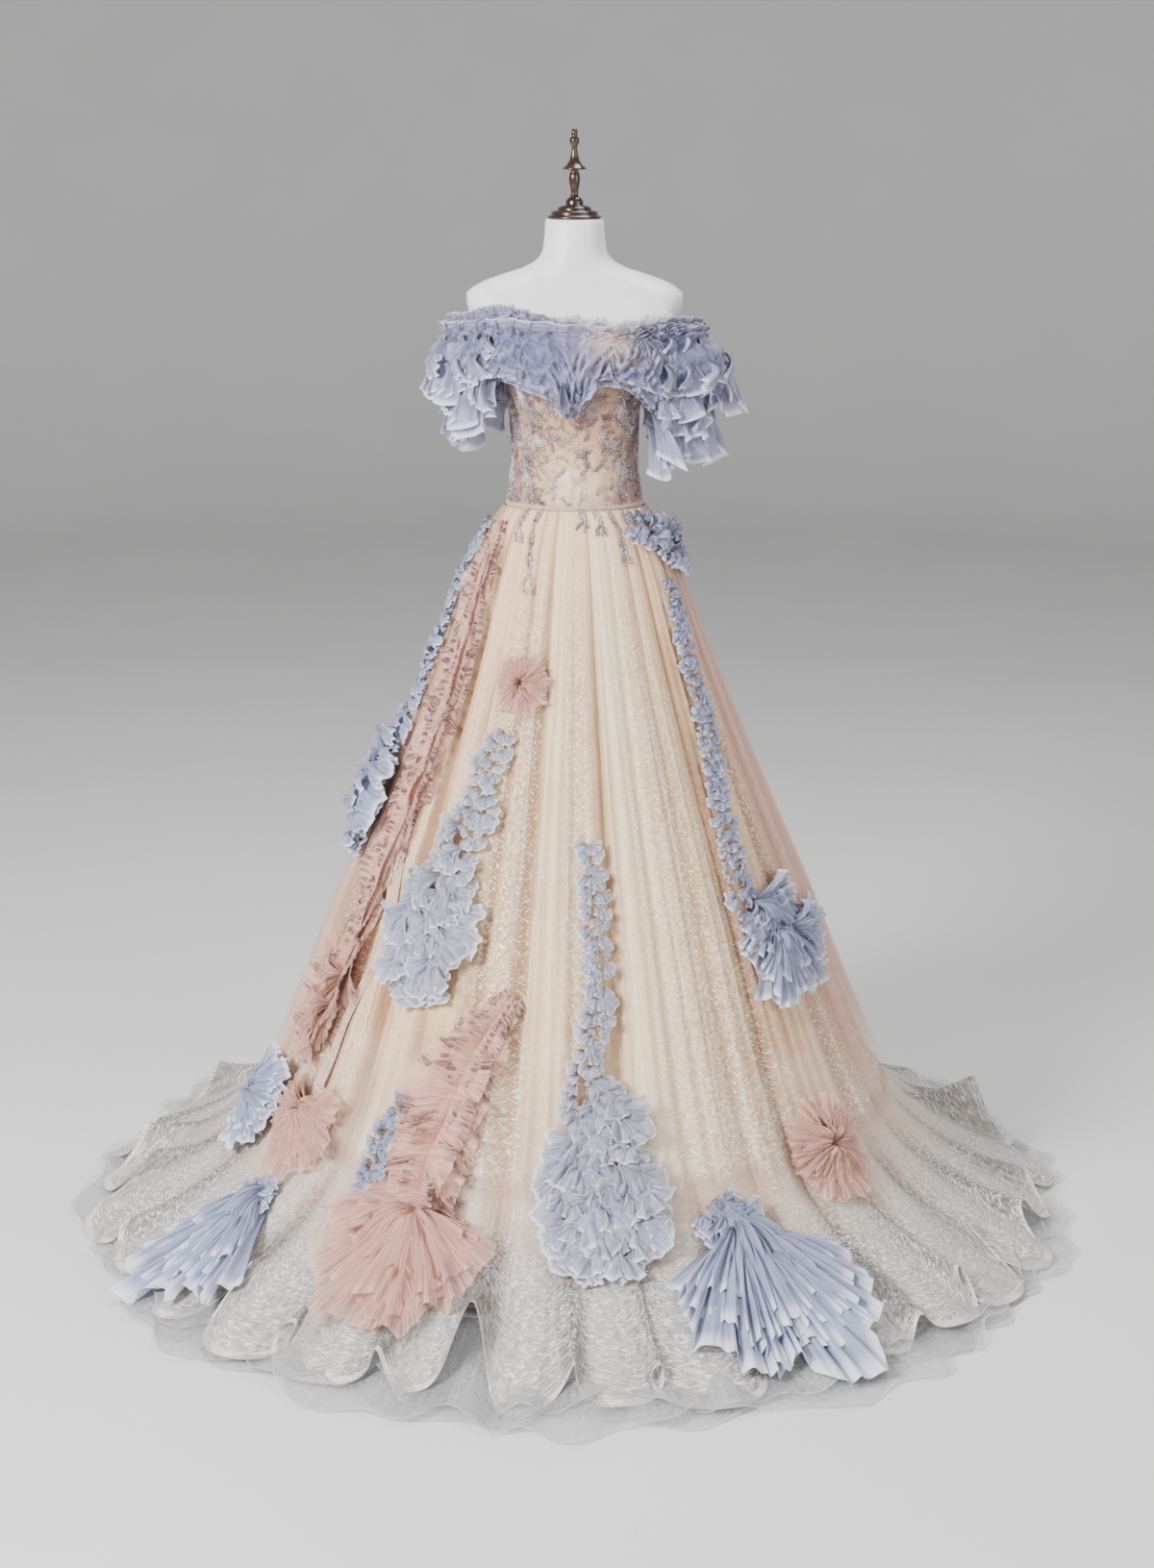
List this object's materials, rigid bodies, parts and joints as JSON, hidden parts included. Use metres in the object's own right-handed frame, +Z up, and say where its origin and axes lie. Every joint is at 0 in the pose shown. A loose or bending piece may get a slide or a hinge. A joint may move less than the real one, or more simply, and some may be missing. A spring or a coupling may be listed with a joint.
{
  "type": "ball gown on a dress form",
  "caption": "Off-the-shoulder tulle ball gown with a beaded bodice, applied ruffles and a fluted hem, standing on a white limbless dress form.",
  "frame": {"origin": "middle of the underside of the stand's base, on the floor", "axes": "+Z up along the stand's pole, the front of the gown faces -Y, +X to the right as seen from the front"},
  "size_m": [1.749, 1.749, 1.835],
  "materials": {
    "form_white": "smooth satin white",
    "dark_wood": "dark turned wood, glossy varnish",
    "bodice_lace": "nude tulle with beaded silver-mauve lace vines",
    "skirt_tulle": "layered ivory-peach tulle with fine glitter",
    "hem_net": "sheer stiff silver-taupe net with a braid edge",
    "under_tulle": "sheer soft grey-white tulle",
    "lavender_tulle": "crumpled lavender tulle, pale frilled edges",
    "blue_tulle": "gathered pale blue tulle",
    "pink_tulle": "gathered dusty pink tulle"
  },
  "bodies": {
    "root": {"form_body": "form_white", "neck_cap": "dark_wood", "finial": "dark_wood", "stand_base": "dark_wood", "stand_pole": "dark_wood", "bodice_front": "bodice_lace", "bodice_side_right": "bodice_lace", "bodice_back_right": "bodice_lace", "bodice_back_left": "bodice_lace", "bodice_side_left": "bodice_lace", "waist_band": "bodice_lace", "back_placket": "bodice_lace", "button_1": "bodice_lace", "button_2": "bodice_lace", "button_3": "bodice_lace", "button_4": "bodice_lace", "button_5": "bodice_lace", "button_6": "bodice_lace", "gore_front_left": "skirt_tulle", "gore_front_centre": "skirt_tulle", "gore_front_right": "skirt_tulle", "gore_side_right": "skirt_tulle", "gore_back_right": "skirt_tulle", "gore_back_left": "skirt_tulle", "gore_side_left_back": "skirt_tulle", "gore_side_left": "skirt_tulle", "flounce_front": "hem_net", "flounce_right": "hem_net", "flounce_back_right": "hem_net", "flounce_back": "hem_net", "flounce_back_left": "hem_net", "flounce_left": "hem_net", "underskirt_front": "under_tulle", "underskirt_right": "under_tulle", "underskirt_back": "under_tulle", "underskirt_left": "under_tulle", "collar_front_left": "lavender_tulle", "collar_front_right": "lavender_tulle", "collar_back_right": "lavender_tulle", "collar_back_left": "lavender_tulle", "sleeve_left_back": "lavender_tulle", "sleeve_left_outer": "lavender_tulle", "sleeve_left_front": "lavender_tulle", "sleeve_right_front": "lavender_tulle", "sleeve_right_outer": "lavender_tulle", "sleeve_right_back": "lavender_tulle", "ruffle_edge_blue": "blue_tulle", "ruche_white_blue": "blue_tulle", "ruffle_centre_blue": "blue_tulle", "ruffle_right_blue": "blue_tulle", "ruffle_waist_blue": "blue_tulle", "fan_left_blue": "blue_tulle", "fan_right_blue": "blue_tulle", "rosette_left_blue": "blue_tulle", "ruche_side_pink": "pink_tulle", "ruche_front_pink": "pink_tulle", "rosette_hip_pink": "pink_tulle", "rosette_left_pink": "pink_tulle", "rosette_right_pink": "pink_tulle"}
  },
  "joints": []
}
